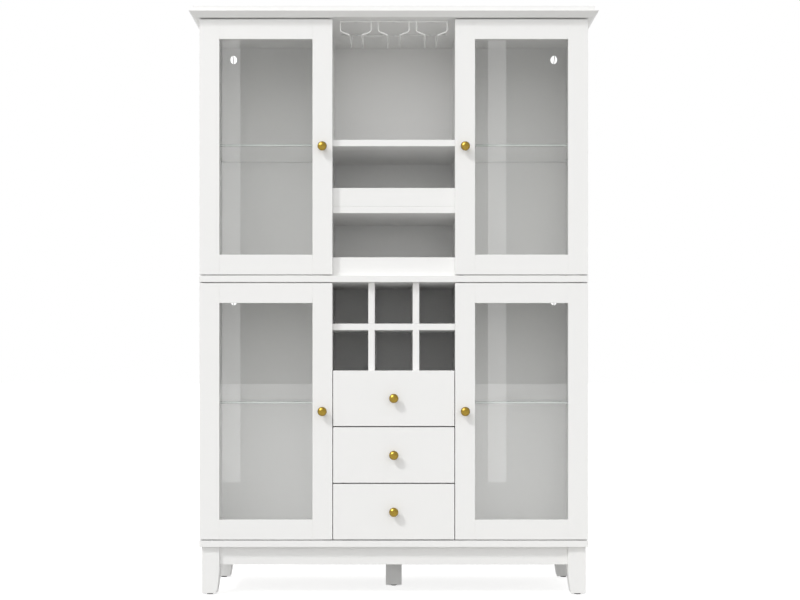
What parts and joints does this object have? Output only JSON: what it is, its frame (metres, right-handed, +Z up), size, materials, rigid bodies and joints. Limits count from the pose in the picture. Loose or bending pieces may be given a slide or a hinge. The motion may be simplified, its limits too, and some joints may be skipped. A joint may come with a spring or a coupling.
{
  "type": "wine cabinet",
  "caption": "Tall white bar cabinet with glazed doors, an open niche with a stemware rack, bottle cubbies and drawers, standing on short legs.",
  "frame": {"origin": "centre of the whole outline at floor level", "axes": "+Z up, -Y out of the front, +X to the right seen from the front"},
  "size_m": [1.13, 0.426, 1.629],
  "materials": {
    "white_board": "satin white lacquer on board",
    "glide_felt": "dark moulded pad",
    "zinc_steel": "zinc plated",
    "white_wire": "white powder coat",
    "clear_glass": "clear float glass",
    "brass_knob": "polished gold tone"
  },
  "bodies": {
    "cabinet": {"bottom_board": "white_board", "mid_board": "white_board", "lower_side_left": "white_board", "lower_side_right": "white_board", "lower_partitions": "white_board", "upper_side_left": "white_board", "upper_side_right": "white_board", "upper_partitions": "white_board", "ceiling_panel": "white_board", "top_board": "white_board", "crown_front": "white_board", "crown_sides": "white_board", "lower_back_panel": "white_board", "upper_back_panel": "white_board", "corner_legs": "white_board", "centre_leg": "white_board", "aprons": "white_board", "slide_packers": "white_board", "niche_shelves": "white_board", "niche_rails": "white_board", "cubby_floor": "white_board", "cubby_shelf": "white_board", "cubby_uprights": "white_board", "glides": "glide_felt", "hinge_arms": "zinc_steel", "slide_channels": "zinc_steel", "shelf_pins": "zinc_steel", "glass_rack": "white_wire", "glass_shelves": "clear_glass"},
    "lower_door_left": {"lower_door_left_frame": "white_board", "lower_door_left_glass": "clear_glass", "lower_door_left_hinge_cups": "zinc_steel", "lower_door_left_knob": "brass_knob"},
    "lower_door_right": {"lower_door_right_frame": "white_board", "lower_door_right_glass": "clear_glass", "lower_door_right_hinge_cups": "zinc_steel", "lower_door_right_knob": "brass_knob"},
    "upper_door_left": {"upper_door_left_frame": "white_board", "upper_door_left_glass": "clear_glass", "upper_door_left_hinge_cups": "zinc_steel", "upper_door_left_knob": "brass_knob"},
    "upper_door_right": {"upper_door_right_frame": "white_board", "upper_door_right_glass": "clear_glass", "upper_door_right_hinge_cups": "zinc_steel", "upper_door_right_knob": "brass_knob"},
    "drawer_1": {"drawer_1_front": "white_board", "drawer_1_box": "white_board", "drawer_1_base": "white_board", "drawer_1_runners": "zinc_steel", "drawer_1_knob": "brass_knob"},
    "drawer_2": {"drawer_2_front": "white_board", "drawer_2_box": "white_board", "drawer_2_base": "white_board", "drawer_2_runners": "zinc_steel", "drawer_2_knob": "brass_knob"},
    "drawer_3": {"drawer_3_front": "white_board", "drawer_3_box": "white_board", "drawer_3_base": "white_board", "drawer_3_runners": "zinc_steel", "drawer_3_knob": "brass_knob"}
  },
  "joints": [
    {"name": "lower_door_left_hinge", "type": "hinge", "parent": "cabinet", "child": "lower_door_left", "pos_m": [-0.538, -0.169, 0.508], "axis": [0, 0, -1], "range_deg": [0, 100]},
    {"name": "lower_door_right_hinge", "type": "hinge", "parent": "cabinet", "child": "lower_door_right", "pos_m": [0.538, -0.169, 0.508], "axis": [0, 0, 1], "range_deg": [0, 100]},
    {"name": "upper_door_left_hinge", "type": "hinge", "parent": "cabinet", "child": "upper_door_left", "pos_m": [-0.538, -0.169, 1.242], "axis": [0, 0, -1], "range_deg": [0, 100]},
    {"name": "upper_door_right_hinge", "type": "hinge", "parent": "cabinet", "child": "upper_door_right", "pos_m": [0.538, -0.169, 1.242], "axis": [0, 0, 1], "range_deg": [0, 100]},
    {"name": "drawer_1_slide", "type": "slide", "parent": "cabinet", "child": "drawer_1", "axis": [0, -1, 0], "range_m": [0, 0.25]},
    {"name": "drawer_2_slide", "type": "slide", "parent": "cabinet", "child": "drawer_2", "axis": [0, -1, 0], "range_m": [0, 0.25]},
    {"name": "drawer_3_slide", "type": "slide", "parent": "cabinet", "child": "drawer_3", "axis": [0, -1, 0], "range_m": [0, 0.25]}
  ]
}
